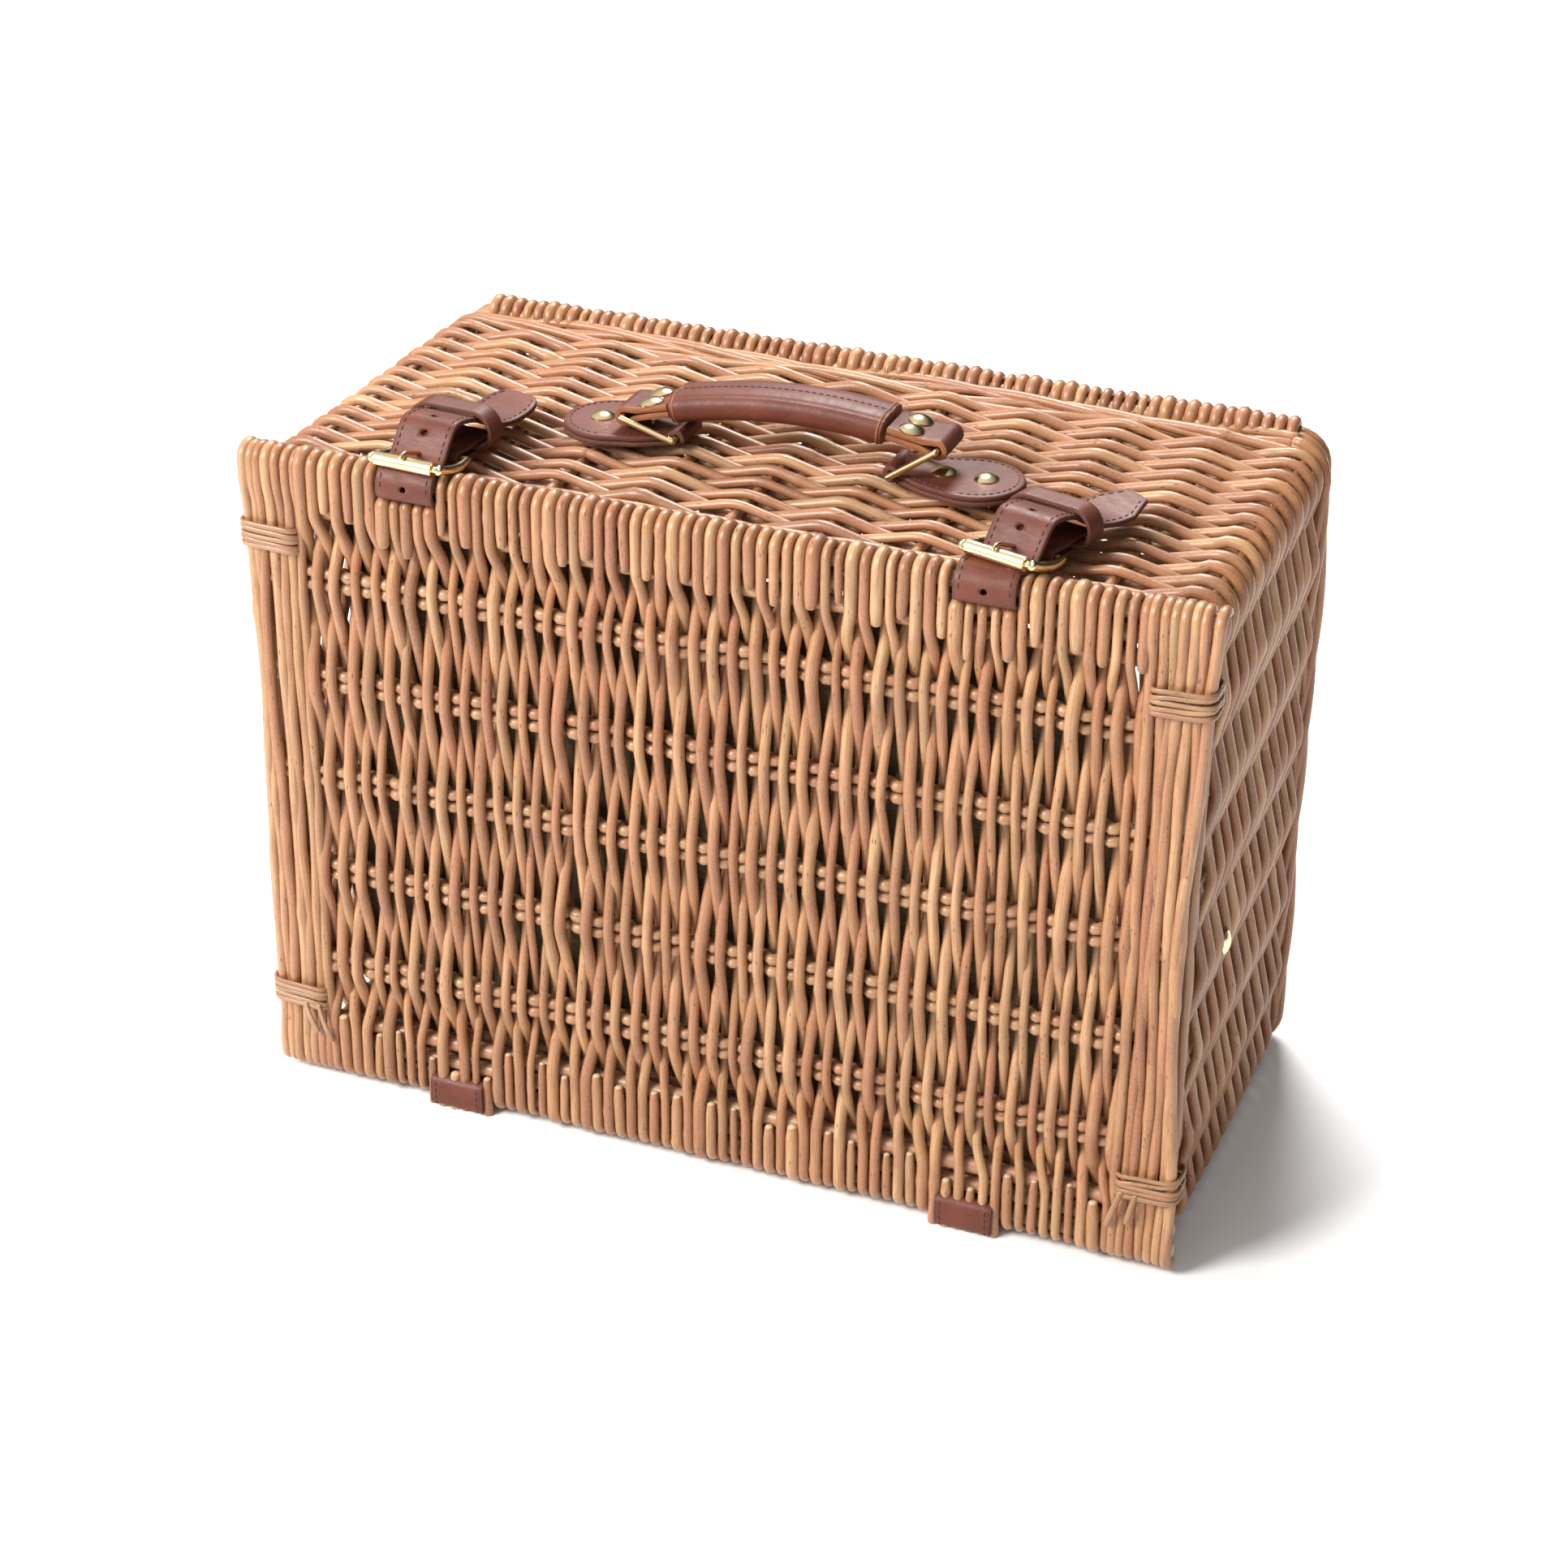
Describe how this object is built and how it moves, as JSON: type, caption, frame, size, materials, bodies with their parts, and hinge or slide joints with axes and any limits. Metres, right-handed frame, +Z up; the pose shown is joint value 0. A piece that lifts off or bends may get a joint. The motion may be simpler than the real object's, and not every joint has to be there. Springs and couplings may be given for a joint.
{
  "type": "woven wicker hamper basket",
  "caption": "Standing willow hamper with a woven hinged lid, padded lining, buckled leather straps and a leather carry handle on brass rings.",
  "frame": {"origin": "middle of the whole box at floor level", "axes": "+X along the width to the right as seen from the lid, +Y from the lid to the base panel at the back, +Z up; standing closed on its hinge side as in the picture"},
  "size_m": [0.46, 0.2298, 0.3634],
  "materials": {
    "willow_weave": "satin peeled willow, buff and reddish rods mixed",
    "willow_rod": "satin peeled willow",
    "willow_skein": "matte split willow",
    "khaki_cloth": "matte woven cotton",
    "brown_leather": "smooth satin, stitched edges",
    "brass": "polished light gold"
  },
  "bodies": {
    "basket": {"body_walls": "willow_weave", "body_base": "willow_weave", "body_rim_border": "willow_rod", "hinge_strap_left": "brown_leather", "hinge_strap_right": "brown_leather", "buckle_chape_left": "brown_leather", "buckle_chape_right": "brown_leather", "strap_keeper_left": "brown_leather", "strap_keeper_right": "brown_leather", "handle_base_plate_left": "brown_leather", "handle_base_plate_right": "brown_leather", "base_plate_rivets": "brass", "base_plate_washers": "brass", "side_rivets": "brass", "side_rivet_washers": "brass"},
    "lid": {"lid_weave": "willow_weave", "lid_stakes": "willow_rod", "lid_top_rods": "willow_rod", "lid_bottom_rods": "willow_rod", "lid_side_rods_left": "willow_rod", "lid_side_rods_right": "willow_rod", "lid_binding_top_left": "willow_skein", "lid_binding_top_right": "willow_skein", "lid_binding_bottom_left": "willow_skein", "lid_binding_bottom_right": "willow_skein", "lid_lining": "khaki_cloth", "closure_strap_left": "brown_leather", "closure_strap_right": "brown_leather"},
    "buckle_left": {"buckle_frame_left": "brass"},
    "roller_left": {"buckle_roller_left": "brass"},
    "prong_left": {"buckle_prong_left": "brass"},
    "buckle_right": {"buckle_frame_right": "brass"},
    "roller_right": {"buckle_roller_right": "brass"},
    "prong_right": {"buckle_prong_right": "brass"},
    "grip": {"handle_grip": "brown_leather"},
    "tab_left": {"handle_tab_left": "brown_leather", "handle_tab_rivets_left": "brass"},
    "ring_left": {"handle_ring_left": "brass"},
    "tab_right": {"handle_tab_right": "brown_leather", "handle_tab_rivets_right": "brass"},
    "ring_right": {"handle_ring_right": "brass"}
  },
  "joints": [
    {"name": "lid_hinge", "type": "hinge", "parent": "basket", "child": "lid", "pos_m": [0, -0.09421, 0.0016], "axis": [1, 0, 0], "range_deg": [0, 80], "deforming": ["hinge_strap_left", "hinge_strap_right", "closure_strap_left", "closure_strap_right"]},
    {"name": "buckle_left_lift", "type": "hinge", "parent": "basket", "child": "buckle_left", "pos_m": [-0.14121, -0.08568, 0.33416], "axis": [-0.9976, 0.0698, 0], "range_deg": [0, 60]},
    {"name": "roller_left_spin", "type": "hinge", "parent": "buckle_left", "child": "roller_left", "pos_m": [-0.14296, -0.11062, 0.3384], "axis": [0.9976, -0.0698, 0], "continuous": true},
    {"name": "prong_left_lift", "type": "hinge", "parent": "buckle_left", "child": "prong_left", "pos_m": [-0.14121, -0.08568, 0.33416], "axis": [-0.9976, 0.0698, 0], "range_deg": [0, 30]},
    {"name": "buckle_right_lift", "type": "hinge", "parent": "basket", "child": "buckle_right", "pos_m": [0.13644, -0.07973, 0.33416], "axis": [-0.9659, 0.2588, 0], "range_deg": [0, 60]},
    {"name": "roller_right_spin", "type": "hinge", "parent": "buckle_right", "child": "roller_right", "pos_m": [0.12997, -0.10387, 0.3402], "axis": [0.9659, -0.2588, 0], "continuous": true},
    {"name": "prong_right_lift", "type": "hinge", "parent": "buckle_right", "child": "prong_right", "pos_m": [0.13644, -0.07973, 0.33416], "axis": [-0.9659, 0.2588, 0], "range_deg": [0, 30]},
    {"name": "handle_lift", "type": "slide", "parent": "basket", "child": "grip", "axis": [0, 0, 1], "range_m": [0, 0.012]},
    {"name": "ring_left_tilt", "type": "hinge", "parent": "basket", "child": "ring_left", "pos_m": [-0.0478, -0.019, 0.33478], "axis": [0, 1, 0], "range_deg": [0, 14.7]},
    {"name": "tab_left_bend", "type": "hinge", "parent": "grip", "child": "tab_left", "pos_m": [-0.051, -0.019, 0.348], "axis": [0, -1, 0], "range_deg": [0, 16.7]},
    {"name": "ring_right_tilt", "type": "hinge", "parent": "basket", "child": "ring_right", "pos_m": [0.0558, -0.019, 0.33478], "axis": [0, -1, 0], "range_deg": [0, 10.7]},
    {"name": "tab_right_bend", "type": "hinge", "parent": "grip", "child": "tab_right", "pos_m": [0.053, -0.019, 0.354], "axis": [0, 1, 0], "range_deg": [0, 21.1]}
  ],
  "couplings": [
    {"joint": "ring_left_tilt", "follows": "handle_lift", "rad_per_m": 20.947},
    {"joint": "tab_left_bend", "follows": "handle_lift", "rad_per_m": 23.851},
    {"joint": "ring_right_tilt", "follows": "handle_lift", "rad_per_m": 15.19},
    {"joint": "tab_right_bend", "follows": "handle_lift", "rad_per_m": 30.316}
  ]
}
